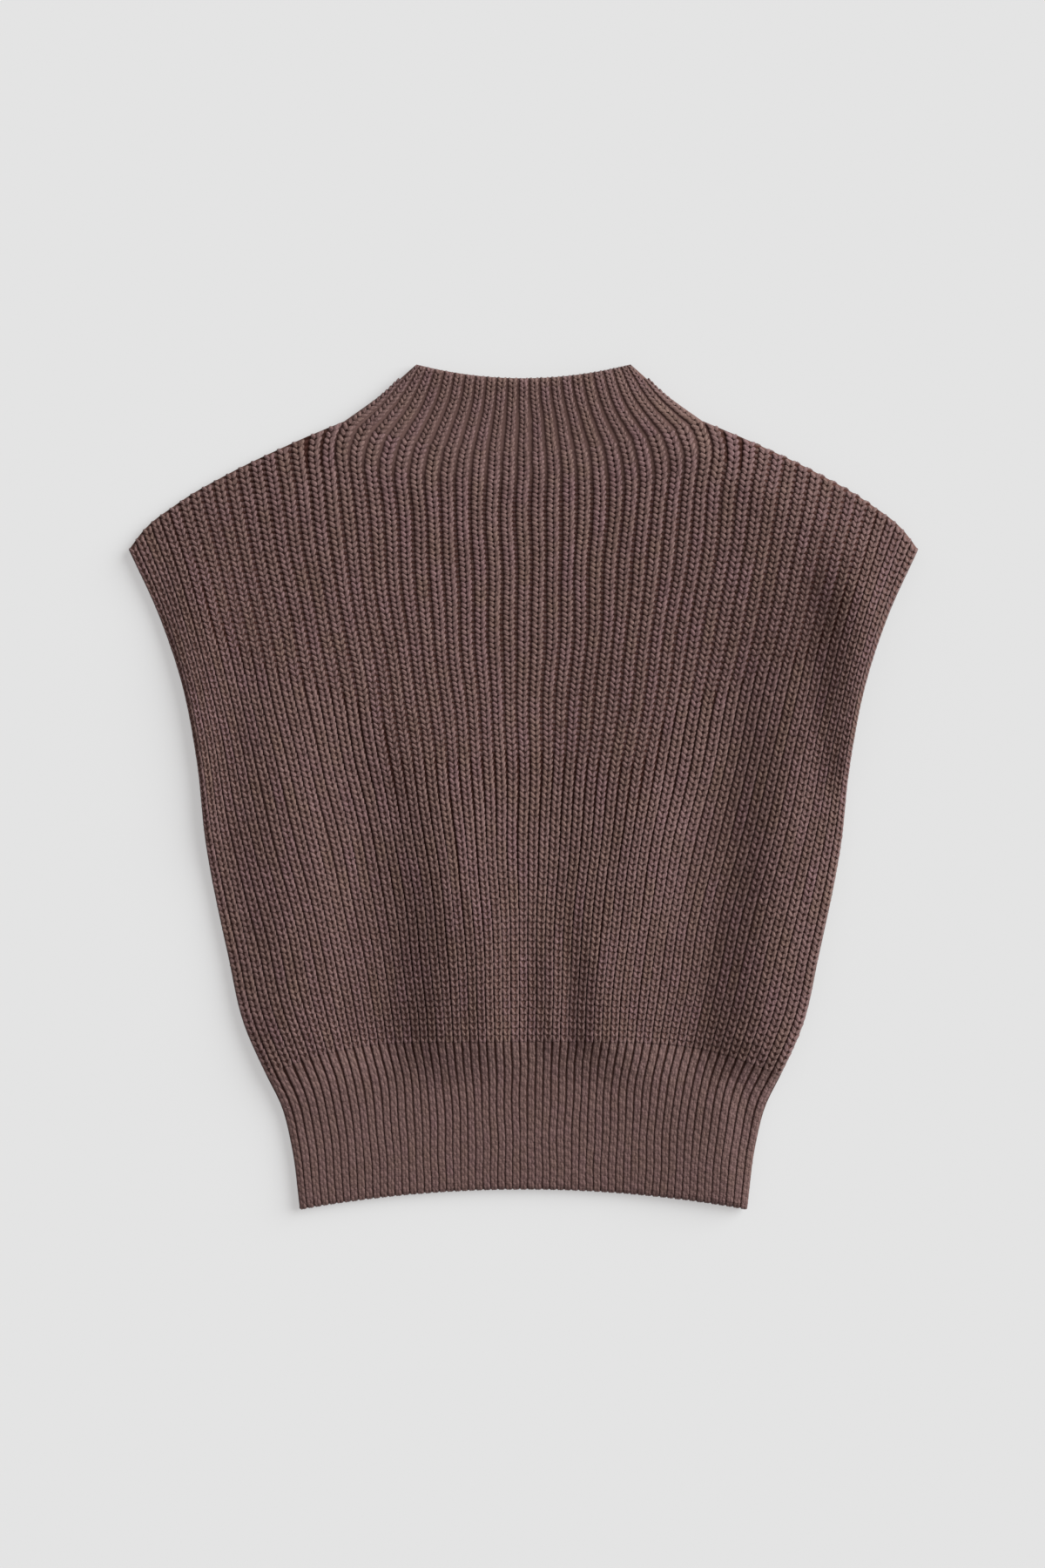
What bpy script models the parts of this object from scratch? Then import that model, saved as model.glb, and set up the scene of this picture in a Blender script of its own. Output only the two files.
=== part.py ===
"""Half turtleneck sweater with no sleeves, lying flat on its back on a level surface.

The frame: x runs across the garment from its centre line, y runs towards the neck and z is up
from the surface.  Six knitted pieces are modelled, each a wall of cloth in its own object: the
front and back panels, the two halves of the half turtleneck and the two halves of the hem rib.
The back pieces lie on the surface and the front pieces lie on them.  Soft folds lift the front,
and the highest lift the back too.  The two layers meet at the outline.  All sizes are in metres.
"""
import bmesh
import bpy
import numpy as np

# Driving sizes.
LENGTH = 0.553
HEM_HALF_WIDTH = 0.1465
HEM_EDGE_RISE = 0.0132
HEM_SEAM_Y = -0.166
HEM_SEAM_DROP = 0.023
HEM_SEAM_HALF_WIDTH = 0.1684
UNDERARM_Y = -0.038
CHEST_HALF_WIDTH = 0.208
TIP_Y = 0.155
SHOULDER_HALF_WIDTH = 0.2585
NECK_HALF_WIDTH = 0.1177
NECK_CORNER_Y = 0.2390
NECK_BASE_DIP = 0.020
RIM_HALF_WIDTH = 0.0701
RIM_DIP = 0.0091

# Cloth walls, and the gap that touching pieces keep.
BODY_WALL = 0.0040
NECK_WALL = 0.0036
HEM_WALL = 0.0034
GAP = 0.0003
EDGE_ROUNDING = 0.0009
# The back lies flat where the folds are lower than this, and takes this share of their rest.
BACK_FLAT = 0.0050
BACK_SHARE = 0.45

# Grid of each piece: faces across, and faces along the body, the neck and the hem rib.
FACES_ACROSS = 32
NECK_FACES_ACROSS = 14
BODY_FACES_ALONG = 18
NECK_FACES_ALONG = 3
HEM_FACES_ALONG = 3

# The share of the ribs, either side of the centre line, that runs up into the neck.
NECK_SHARE = 0.41
# How much wider the ribs at the centre of the hem seam are than the mean rib there.
CENTRE_SPREAD = -0.03
# The ribs' spread from the hem to the top is an eased step, which this much hurries.
SPREAD_PACE = 1.08

HEM_CORNER_Y = -LENGTH / 2
RIM_CORNER_Y = LENGTH / 2
HEM_SEAM_CORNER_Y = HEM_SEAM_Y - HEM_SEAM_DROP

# Half width of the garment from the hem corner up to the tip of the shoulder.
SIDE_LINE = (
    # y, half width
    (HEM_CORNER_Y, HEM_HALF_WIDTH),
    (-0.2350, 0.1520),
    (-0.2080, 0.1590),
    (HEM_SEAM_CORNER_Y, HEM_SEAM_HALF_WIDTH),
    (-0.1560, 0.1830),
    (-0.1120, 0.1932),
    (UNDERARM_Y, CHEST_HALF_WIDTH),
    (0.0188, 0.2143),
    (0.0700, 0.2245),
    (0.1157, 0.2403),
    (TIP_Y, SHOULDER_HALF_WIDTH),
)
# The shoulder from the corner of the neck out to its tip.
SHOULDER_LINE = (
    # x, y
    (NECK_HALF_WIDTH, NECK_CORNER_Y),
    (0.1311, 0.2337),
    (0.1596, 0.2212),
    (0.1938, 0.2046),
    (0.2280, 0.1844),
    (0.2508, 0.1656),
    (SHOULDER_HALF_WIDTH, TIP_Y),
)
# Half width of the neck from its corner with the shoulder up to the rim.
NECK_LINE = (
    # y, half width
    (NECK_CORNER_Y, NECK_HALF_WIDTH),
    (0.2571, 0.0926),
    (RIM_CORNER_Y, RIM_HALF_WIDTH),
)
# Soft folds.  Each crest runs from its top to its foot, and a bow carries its middle to the side.
# It reaches its height after the share "rise" of its length and fades out past the foot over the
# share "tail".  Left and right are as seen looking from its foot to its top.
FOLDS = (
    # top x, top y, foot x, foot y, bow, height, left reach, right reach, rise, tail
    (-0.172, 0.150, -0.143, -0.160, 0.000, 0.0055, 0.050, 0.054, 0.55, 0.22),
    (-0.074, 0.092, -0.040, -0.163, 0.010, 0.0120, 0.053, 0.090, 0.80, 0.13),
    (-0.026, -0.050, -0.022, -0.163, 0.000, 0.0020, 0.020, 0.022, 0.80, 0.18),
    (0.030, 0.070, 0.030, -0.100, 0.000, 0.0026, 0.064, 0.034, 0.60, 0.30),
    (0.016, -0.070, 0.020, -0.165, 0.000, 0.0018, 0.014, 0.011, 0.60, 0.15),
    (0.098, 0.140, 0.057, -0.163, -0.004, 0.0080, 0.064, 0.056, 0.65, 0.12),
    (0.050, -0.050, 0.047, -0.163, 0.000, 0.0033, 0.020, 0.026, 0.70, 0.15),
    (0.184, 0.155, 0.153, -0.165, 0.004, 0.0096, 0.042, 0.065, 0.65, 0.12),
    (0.213, 0.165, 0.222, 0.020, 0.000, 0.0095, 0.034, 0.032, 0.30, 0.22),
    (-0.217, 0.165, -0.215, -0.020, 0.000, 0.0036, 0.026, 0.034, 0.30, 0.30),
    (-0.060, 0.314, 0.240, 0.132, 0.000, 0.0088, 0.200, 0.047, 0.60, 0.10),
    (0.128, -0.185, 0.131, -0.275, 0.000, 0.0024, 0.090, 0.019, 0.30, 0.30),
)

# Colour of each piece's wool as linear red, green and blue, and its roughness.
BODY_WOOL = (0.112, 0.069, 0.063)
NECK_WOOL = (0.104, 0.064, 0.058)
HEM_WOOL = (0.100, 0.062, 0.057)
WOOL_ROUGHNESS = 0.9


def smooth_curve(table, place):
    """Cubic curve through the table's points, with each slope taken from its neighbours."""
    at, value = np.array(table).T
    slope = np.gradient(value, at)
    i = np.clip(np.searchsorted(at, place) - 1, 0, len(at) - 2)
    step = at[i + 1] - at[i]
    t = np.clip((place - at[i]) / step, 0.0, 1.0)
    start = value[i] * (1 + 2 * t) * (1 - t) ** 2 + slope[i] * step * t * (1 - t) ** 2
    end = value[i + 1] * t ** 2 * (3 - 2 * t) - slope[i + 1] * step * t ** 2 * (1 - t)
    return start + end


def ease(t):
    """Smooth step from 0 to 1."""
    t = np.clip(t, 0.0, 1.0)
    return t * t * (3 - 2 * t)


def fold_height(x, y):
    """Height that the folds lift the front layer at each point of the flat garment.

    Across its crest a fold falls away as a squared cosine, over its reach on that side.
    """
    total = np.zeros_like(x)
    for top_x, top_y, foot_x, foot_y, bow, height, left, right, rise, tail in FOLDS:
        run_x, run_y = foot_x - top_x, foot_y - top_y
        length = np.hypot(run_x, run_y)
        along = ((x - top_x) * run_x + (y - top_y) * run_y) / length ** 2
        aside = ((y - top_y) * run_x - (x - top_x) * run_y) / length
        aside = aside - 4 * bow * along * (1 - along)
        across = np.clip(np.abs(aside) / np.where(aside < 0, left, right), 0.0, 1.0)
        swell = ease(along / rise) * ease((1 + tail - along) / tail)
        total += height * np.cos(across * np.pi / 2) ** 2 * swell
    return total


def back_lift(fold):
    """Height that folds of this height lift the back layer."""
    return BACK_SHARE * np.maximum(fold - BACK_FLAT, 0.0)


def hem_seam_y(x):
    """Line where the hem rib meets the body, which drops towards the sides."""
    return HEM_SEAM_Y - HEM_SEAM_DROP * np.abs(x / HEM_SEAM_HALF_WIDTH) ** 4


def neck_base_y(x):
    """Line where the neck meets the body, a shallow arc between the neck's corners."""
    return NECK_CORNER_Y - NECK_BASE_DIP * (1 - (x / NECK_HALF_WIDTH) ** 2)


def body_plan(u, v):
    """Places on a body panel, u across it from -1 to 1 and v from the hem seam to the top.

    Each column runs as the ribs do, from its place on the hem seam to its place on the neck
    base or the shoulder, with an eased spread, and bows with the side line, most at the sides.
    """
    foot_x = HEM_SEAM_HALF_WIDTH * u * (1 + CENTRE_SPREAD * (1 - u ** 2))
    foot_y = hem_seam_y(foot_x)
    fan = NECK_HALF_WIDTH / NECK_SHARE
    past_neck = np.maximum(np.abs(u) - NECK_SHARE, 0.0)
    taper = (fan - SHOULDER_HALF_WIDTH) / (1 - NECK_SHARE) ** 2
    head_x = fan * u - np.sign(u) * taper * past_neck ** 2
    head_y = np.where(past_neck > 0, smooth_curve(SHOULDER_LINE, np.abs(head_x)),
                      neck_base_y(head_x))
    edge_y = HEM_SEAM_CORNER_Y + (TIP_Y - HEM_SEAM_CORNER_Y) * v
    spread = ease(SPREAD_PACE * v)
    edge_line = HEM_SEAM_HALF_WIDTH + (SHOULDER_HALF_WIDTH - HEM_SEAM_HALF_WIDTH) * spread
    bow = smooth_curve(SIDE_LINE, edge_y) - edge_line
    x = foot_x + (head_x - foot_x) * spread + bow * u * np.abs(u)
    y = foot_y + GAP / 2 + (head_y - foot_y - GAP) * v
    return x, y


def neck_plan(u, v):
    """Places on a half of the neck, u across it and v from its base to the rim."""
    corner_y = NECK_CORNER_Y + (RIM_CORNER_Y - NECK_CORNER_Y) * v
    x = u * smooth_curve(NECK_LINE, corner_y)
    dip = NECK_BASE_DIP + (RIM_DIP - NECK_BASE_DIP) * v
    y = corner_y - dip * (1 - u ** 2) + GAP / 2 * (1 - v)
    return x, y


def hem_plan(u, v):
    """Places on a half of the hem rib, u across it and v from its edge up to the seam."""
    side_y = HEM_CORNER_Y + (HEM_SEAM_CORNER_Y - HEM_CORNER_Y) * v
    x = smooth_curve(SIDE_LINE, side_y) * u
    edge_y = HEM_CORNER_Y + HEM_EDGE_RISE * (1 - u ** 2)
    seam_y = hem_seam_y(HEM_SEAM_HALF_WIDTH * u) - GAP / 2
    return x, edge_y + (seam_y - edge_y) * v


def wool(name, colour):
    """Knitted wool, a matt Principled material."""
    material = bpy.data.materials.new(name)
    material.use_nodes = True
    shader = material.node_tree.nodes["Principled BSDF"]
    shader.inputs["Base Color"].default_value = (*colour, 1.0)
    shader.inputs["Roughness"].default_value = WOOL_ROUGHNESS
    shader.inputs["Metallic"].default_value = 0.0
    return material


def cloth(name, plan, faces, wall, layer, material):
    """One knitted piece: a grid laid out by its plan, lifted by the folds and given its wall.

    The layer is "back" for a piece on the surface, or "front" for one that lies on the back.
    Front and back are joined down the sides and along the shoulders, so no fold parts them there.
    """
    across, along = faces
    sheet = bmesh.new()
    bmesh.ops.create_grid(sheet, x_segments=across, y_segments=along, size=1.0)
    mesh = bpy.data.meshes.new(name)
    sheet.to_mesh(mesh)
    sheet.free()

    points = np.empty(len(mesh.vertices) * 3)
    mesh.vertices.foreach_get("co", points)
    u, v = points.reshape(-1, 3)[:, 0], points.reshape(-1, 3)[:, 1] / 2 + 0.5
    x, y = plan(u, v)
    fold = fold_height(x, y)
    under = back_lift(fold)
    joined = np.abs(u) > 0.999
    if plan is body_plan:
        joined |= (v > 0.999) & (np.abs(u) > NECK_SHARE)
    z = under if layer == "back" else wall + GAP + np.where(joined, under, fold)
    mesh.vertices.foreach_set("co", np.column_stack((x, y, z)).ravel())
    mesh.materials.append(material)

    piece = bpy.data.objects.new(name, mesh)
    bpy.context.collection.objects.link(piece)
    thickness = piece.modifiers.new("cloth wall", "SOLIDIFY")
    thickness.thickness = wall
    thickness.offset = 1.0
    rounding = piece.modifiers.new("rounded edges", "BEVEL")
    rounding.width = EDGE_ROUNDING
    rounding.segments = 1
    rounding.limit_method = "ANGLE"
    rounding.angle_limit = np.radians(50)
    return piece


def main():
    for old in list(bpy.data.objects):
        bpy.data.objects.remove(old)
    body_wool = wool("body wool", BODY_WOOL)
    neck_wool = wool("neck wool", NECK_WOOL)
    hem_wool = wool("hem wool", HEM_WOOL)
    body_faces = (FACES_ACROSS, BODY_FACES_ALONG)
    neck_faces = (NECK_FACES_ACROSS, NECK_FACES_ALONG)
    hem_faces = (FACES_ACROSS, HEM_FACES_ALONG)
    for layer in ("back", "front"):
        cloth(layer + "_panel", body_plan, body_faces, BODY_WALL, layer, body_wool)
        cloth(layer + "_neck", neck_plan, neck_faces, NECK_WALL, layer, neck_wool)
        cloth(layer + "_hem_rib", hem_plan, hem_faces, HEM_WALL, layer, hem_wool)


main()
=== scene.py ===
"""Looks for the half turtleneck sweater with no sleeves, laid flat on a pale surface.

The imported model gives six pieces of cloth, and each is replaced here by a thin sheet with its
folds and by the yarn that stands on it.  Every stitch of the ribbing is two short lengths of
yarn that meet in a V, and where the ribs are stretched apart the bars of yarn between them
show too.  A place on the cloth is found from two counts, of ribs across from the centre line
and of rows up from the hem seam, by the plans that also cut the model's pieces.  The frame is
the model's: x across, y towards the neck, z up from the surface, all in metres.
"""

import bpy
import numpy as np
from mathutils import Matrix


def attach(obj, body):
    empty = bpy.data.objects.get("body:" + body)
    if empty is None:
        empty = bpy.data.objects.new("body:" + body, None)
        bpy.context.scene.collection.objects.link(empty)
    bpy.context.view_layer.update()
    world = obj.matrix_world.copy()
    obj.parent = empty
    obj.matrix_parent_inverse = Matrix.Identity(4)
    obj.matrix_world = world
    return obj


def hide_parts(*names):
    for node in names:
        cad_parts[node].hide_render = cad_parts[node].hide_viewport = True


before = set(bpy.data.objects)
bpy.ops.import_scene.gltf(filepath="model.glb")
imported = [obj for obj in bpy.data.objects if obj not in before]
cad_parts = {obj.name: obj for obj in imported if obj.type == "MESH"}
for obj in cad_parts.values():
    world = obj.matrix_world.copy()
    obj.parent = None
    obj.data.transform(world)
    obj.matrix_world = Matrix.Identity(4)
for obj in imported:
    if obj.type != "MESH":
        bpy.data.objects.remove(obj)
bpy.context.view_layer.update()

# ---------------------------------------------------------------------------------------------
# The garment's sizes, the same as the model's.

LENGTH = 0.553
HEM_HALF_WIDTH = 0.1465
HEM_EDGE_RISE = 0.0132
HEM_SEAM_Y = -0.166
HEM_SEAM_DROP = 0.023
HEM_SEAM_HALF_WIDTH = 0.1684
UNDERARM_Y = -0.038
CHEST_HALF_WIDTH = 0.208
TIP_Y = 0.155
SHOULDER_HALF_WIDTH = 0.2585
NECK_HALF_WIDTH = 0.1177
NECK_CORNER_Y = 0.2390
NECK_BASE_DIP = 0.020
RIM_HALF_WIDTH = 0.0701
RIM_DIP = 0.0091
# The back lies flat where the folds are lower than this, and takes this share of their rest.
BACK_FLAT = 0.0050
BACK_SHARE = 0.45
# How much wider the ribs at the centre of the hem seam are than the mean rib there.
CENTRE_SPREAD = -0.03
# The ribs' spread from the hem to the top is an eased step, which this much hurries.
SPREAD_PACE = 1.08

HEM_CORNER_Y = -LENGTH / 2
RIM_CORNER_Y = LENGTH / 2
HEM_SEAM_CORNER_Y = HEM_SEAM_Y - HEM_SEAM_DROP

# Half width of the garment from the hem corner up to the tip of the shoulder.
SIDE_LINE = (
    # y, half width
    (HEM_CORNER_Y, HEM_HALF_WIDTH),
    (-0.2350, 0.1520),
    (-0.2080, 0.1590),
    (HEM_SEAM_CORNER_Y, HEM_SEAM_HALF_WIDTH),
    (-0.1560, 0.1830),
    (-0.1120, 0.1932),
    (UNDERARM_Y, CHEST_HALF_WIDTH),
    (0.0188, 0.2143),
    (0.0700, 0.2245),
    (0.1157, 0.2403),
    (TIP_Y, SHOULDER_HALF_WIDTH),
)
# The shoulder from the corner of the neck out to its tip.
SHOULDER_LINE = (
    # x, y
    (NECK_HALF_WIDTH, NECK_CORNER_Y),
    (0.1311, 0.2337),
    (0.1596, 0.2212),
    (0.1938, 0.2046),
    (0.2280, 0.1844),
    (0.2508, 0.1656),
    (SHOULDER_HALF_WIDTH, TIP_Y),
)
# Half width of the neck from its corner with the shoulder up to the rim.
NECK_LINE = (
    # y, half width
    (NECK_CORNER_Y, NECK_HALF_WIDTH),
    (0.2571, 0.0926),
    (RIM_CORNER_Y, RIM_HALF_WIDTH),
)
# Soft folds.  Each crest runs from its top to its foot, and a bow carries its middle to the side.
# It reaches its height after the share "rise" of its length and fades out past the foot over the
# share "tail".  Left and right are as seen looking from its foot to its top.
FOLDS = (
    # top x, top y, foot x, foot y, bow, height, left reach, right reach, rise, tail
    (-0.172, 0.150, -0.143, -0.160, 0.000, 0.0055, 0.050, 0.054, 0.55, 0.22),
    (-0.074, 0.092, -0.040, -0.163, 0.010, 0.0120, 0.053, 0.090, 0.80, 0.13),
    (-0.026, -0.050, -0.022, -0.163, 0.000, 0.0020, 0.020, 0.022, 0.80, 0.18),
    (0.030, 0.070, 0.030, -0.100, 0.000, 0.0026, 0.064, 0.034, 0.60, 0.30),
    (0.016, -0.070, 0.020, -0.165, 0.000, 0.0018, 0.014, 0.011, 0.60, 0.15),
    (0.098, 0.140, 0.057, -0.163, -0.004, 0.0080, 0.064, 0.056, 0.65, 0.12),
    (0.050, -0.050, 0.047, -0.163, 0.000, 0.0033, 0.020, 0.026, 0.70, 0.15),
    (0.184, 0.155, 0.153, -0.165, 0.004, 0.0096, 0.042, 0.065, 0.65, 0.12),
    (0.213, 0.165, 0.222, 0.020, 0.000, 0.0095, 0.034, 0.032, 0.30, 0.22),
    (-0.217, 0.165, -0.215, -0.020, 0.000, 0.0036, 0.026, 0.034, 0.30, 0.30),
    (-0.060, 0.314, 0.240, 0.132, 0.000, 0.0088, 0.200, 0.047, 0.60, 0.10),
    (0.128, -0.185, 0.131, -0.275, 0.000, 0.0024, 0.090, 0.019, 0.30, 0.30),
)

# ---------------------------------------------------------------------------------------------
# The knitting.  Ribs are counted across from the centre line and rows upwards.

# Half of the rib on the centre line, and the ribs out from it: on the body and the hem rib, at
# the neck's base and at its rim.
RIBS_EACH_SIDE = 30.5
NECK_RIBS_EACH_SIDE = 12.5
RIM_RIBS_EACH_SIDE = 11.5
NECK_SHARE = NECK_RIBS_EACH_SIDE / RIBS_EACH_SIDE
# Rows from the hem seam to the neck, and to the tip of the shoulder.
BODY_ROWS = 105
TIP_ROWS = 90
NECK_ROWS = 16
HEM_ROWS = 47
# Rows lie closer towards the neck along the centre, and towards the edge in the hem rib.  From
# this share of the ribs outwards the body's rows are evenly spaced.
BODY_CROWDING = 0.44
HEM_CROWDING = 0.26
EVEN_ROWS_FROM = 0.45

# Ribs that run up into the neck turn in over this distance below its base, at the centre line
# and at the neck's corners.  So do the ribs beside the corners, this many of them.
TURN_LENGTHS = (0.034, 0.026)
TURNING_PAST_NECK = 3.5
# Before they turn, the ribs near the neck's corners are pushed out by this much.
BULGE = 0.0030
BULGE_RIB = 12
BULGE_REACH = 5
BULGE_LENGTH = 0.050
# Along the rim ribs lie wider apart in the middle than at the corners, and over the chest they
# lie wider apart than at the tips of the shoulders.
RIM_SPREAD = 0.15
CHEST_SPREAD = 0.18
# The sines in which the ribs sway to the side, in ribs, and in which the rows wave, in rows.
RIB_SWAY = (
    # size, turn for each rib, turn for each row, turn at the start
    (0.055, 0.34, 0.19, 0.0),
    (0.040, 0.50, -0.31, 2.0),
)
ROW_WAVE = (
    (0.22, 0.90, 0.05, 0.0),
    (0.18, 1.70, -0.07, 1.0),
)
# Rows over which they grow from a seam or an edge, and rows of the body that stay level.
STEADY_ROWS = 8
LEVEL_ROWS = 25
# The ribs are pulled apart over the chest, from this row up and out to the first of these ribs
# on either side.  From the later row it widens to the second.  Each is full so many rows on.
CHEST_ROW = 28
CHEST_RIBS = (15, 29)
WIDENING_ROW = 52
CHEST_EASE = 24

# The height of the garment's outline, where the front meets the back.
MEETING_HEIGHT = 0.0042
# The wall of each sheet, which narrows to this share at the outline over this distance.
SHEET_WALL = 0.0018
EDGE_PINCH = 0.16
EDGE_ROUNDING = 0.0042
# How far each row past an open edge turns down over it.
TURN_DOWN = 0.0030
# The height of each sheet's outer face between folds, under its yarn.
FRONT_FACE = {"panel": 0.0064, "neck": 0.0064, "hem_rib": 0.0062}
BACK_FACE = 0.0028
# Places of the lines that a sheet's grid has near each edge, in shares of its step.
EDGE_LINES = np.array((0.0, 0.06, 0.4))

# The legs of a V stitch.  Places across are shares of the chain's width from its middle line,
# places along are in rows from the foot of the stitch, and bend is 1 for a straight leg and
# less for one that turns up early, like the arm of a U.  The rises are how far its middle line
# rides over the cloth at each end, in its radius, and swell is how thick its foot is.
LEG_SHAPES = {
    # foot out, head out, foot row, head row, radius, bend, foot rise, head rise, swell
    "pulled": (0.020, 0.450, -0.12, 0.96, 0.205, 0.90, 0.40, 0.25, 1.00),
    "wide": (0.045, 0.385, -0.16, 1.08, 0.208, 0.58, 0.50, 0.20, 1.20),
    "tall": (0.050, 0.385, -0.12, 1.02, 0.190, 0.40, 0.75, 0.15, 1.55),
    "neck": (0.020, 0.420, -0.20, 1.08, 0.225, 0.85, 0.35, 0.25, 1.00),
    "drawn": (0.130, 0.270, -0.55, 1.55, 0.285, 0.80, 0.30, 0.28, 1.00),
}
# A stitch is pulled where its chain takes up less of the rib than this, and grows from wide to
# tall between these shares of its height to its width.
PULLED_FROM = (0.96, 0.84)
TALL_FROM = (0.56, 0.74)
# What the arch between its ends adds to a leg's rise, which is little where it is drawn flat.
ARCH_RISE = {"panel": 0.40, "neck": 0.40, "hem_rib": 0.04}
YARN_FLATNESS = 0.66
# Levels along a length of yarn, its profile at each but the ends, and its sides.
FINE_GRAIN = ((0.0, 0.10, 0.42, 0.86, 1.0), (0.95, 1.0, 0.68), 5)
COARSE_GRAIN = ((0.0, 0.2, 0.8, 1.0), (0.95, 0.95), 4)
BAR_GRAIN = ((0.0, 0.2, 0.5, 0.8, 1.0), (0.72, 1.0, 0.72), 5)
# The width of the chain of V stitches as a share of its rib: on the body, where its ribs are
# pulled apart, on the neck, and on the hem rib at its edge and at the seam.
BODY_CHAIN = 0.98
CHEST_CHAIN = 0.86
NECK_CHAIN = 0.84
HEM_CHAIN = (1.06, 0.90)
# Widest that it grows on the body, and on the neck at its base and above.
BODY_CHAIN_WIDEST = 0.0084
NECK_CHAIN_WIDEST = (0.0072, 0.0060)

# The bars between ribs, which are left out where the groove is narrower than this, and under
# the neck from this row up.  Their place in a row and their radius are shares of its height.
GROOVE_SHOWN = 0.0009
BARS_END = 98
BAR_ROW = 0.55
BAR_RADIUS = 0.38
# How far in all a bar reaches past its groove, how high it lies, how far it sags and its tone,
# which is darker than the legs' as painted shade where it lies low in the groove.
BAR_TUCK = 0.0040
BAR_HEIGHT = -0.0002
BAR_SAG = 0.0002
BAR_SHADED_TONE = 0.68

# How uneven hand and yarn are.  Some of it drifts along each rib: the colour and the tone, each
# slowly and from stitch to stitch, the lean, the place across and the fullness of the chain.
HUE_DRIFT = 0.16
SLOW_TONE_DRIFT = 0.02
TONE_DRIFT = 0.06
LEAN_DRIFT = 0.012
SIDE_DRIFT = 0.015
FULLNESS_DRIFT = 0.012
# The rest differs from leg to leg: its ends across the chain, its foot and head in rows, its
# radius and its tone.
END_STRAY = 0.012
FOOT_STRAY = 0.03
HEAD_STRAY = 0.04
RADIUS_STRAY = 0.04
TONE_STRAY = 0.03
# The hem rib's yarn is this much as uneven in colour and tone.
HEM_EVENNESS = 0.5
SEED = 12


def smooth_curve(table, place):
    """Cubic curve through the table's points, with each slope taken from its neighbours."""
    at, value = np.array(table).T
    slope = np.gradient(value, at)
    i = np.clip(np.searchsorted(at, place) - 1, 0, len(at) - 2)
    step = at[i + 1] - at[i]
    t = np.clip((place - at[i]) / step, 0.0, 1.0)
    start = value[i] * (1 + 2 * t) * (1 - t) ** 2 + slope[i] * step * t * (1 - t) ** 2
    end = value[i + 1] * t ** 2 * (3 - 2 * t) - slope[i + 1] * step * t ** 2 * (1 - t)
    return start + end


def ease(t):
    """Smooth step from 0 to 1.  For (row - 28) / 24 it starts at row 28 and is full at row 52."""
    t = np.clip(t, 0.0, 1.0)
    return t * t * (3 - 2 * t)


def mix(a, b, share):
    """The value that share of the way from a to b."""
    return a + (b - a) * share


def sines(table, rib, row):
    """Sum of the table's sines of an angle that turns with the ribs and the rows."""
    return sum(size * np.sin(for_rib * rib + for_row * row + start)
               for size, for_rib, for_row, start in table)


def fold_height(x, y):
    """Height that the folds lift the front layer at each point of the flat garment.

    Across its crest a fold falls away as a squared cosine, over its reach on that side.
    """
    total = np.zeros_like(x)
    for top_x, top_y, foot_x, foot_y, bow, height, left, right, rise, tail in FOLDS:
        run_x, run_y = foot_x - top_x, foot_y - top_y
        length = np.hypot(run_x, run_y)
        along = ((x - top_x) * run_x + (y - top_y) * run_y) / length ** 2
        aside = ((y - top_y) * run_x - (x - top_x) * run_y) / length
        aside = aside - 4 * bow * along * (1 - along)
        across = np.clip(np.abs(aside) / np.where(aside < 0, left, right), 0.0, 1.0)
        swell = ease(along / rise) * ease((1 + tail - along) / tail)
        total += height * np.cos(across * np.pi / 2) ** 2 * swell
    return total


def hem_seam_y(x):
    """Line where the hem rib meets the body, which drops towards the sides."""
    return HEM_SEAM_Y - HEM_SEAM_DROP * np.abs(x / HEM_SEAM_HALF_WIDTH) ** 4


def neck_base_y(x):
    """Line where the neck meets the body, a shallow arc between the neck's corners."""
    return NECK_CORNER_Y - NECK_BASE_DIP * (1 - (x / NECK_HALF_WIDTH) ** 2)


def seam_share(u):
    """Place on the hem seam as a share of its half width, for each share of the ribs."""
    return u * (1 + CENTRE_SPREAD * (1 - u ** 2))


def chest_share(u):
    """Place across the top of the body as a share of its half width, for each share of ribs."""
    return u * (1 + CHEST_SPREAD * (1 - np.abs(u) ** 3))


def neck_limit(row):
    """Ribs each side of the centre at a row of the neck, where the outermost run off its slope."""
    return mix(NECK_RIBS_EACH_SIDE, RIM_RIBS_EACH_SIDE, (row / NECK_ROWS) ** 3)


def neck_place(rib, row):
    """Places on a half of the neck, rows counted from its base to the rim.

    Ribs spread between its two slopes, towards the rim wider apart in the middle, and each row
    is an arc that dips in the middle.
    """
    v = row / NECK_ROWS
    u = rib / neck_limit(row)
    corner_y = NECK_CORNER_Y + (RIM_CORNER_Y - NECK_CORNER_Y) * v
    at_rim = u * (1 + RIM_SPREAD * (1 - np.abs(u) ** 5))
    across = mix(u, at_rim, v * (0.64 + 0.36 * v))
    dip = mix(NECK_BASE_DIP, RIM_DIP, v)
    return across * smooth_curve(NECK_LINE, corner_y), corner_y - dip * (1 - across ** 2)


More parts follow.
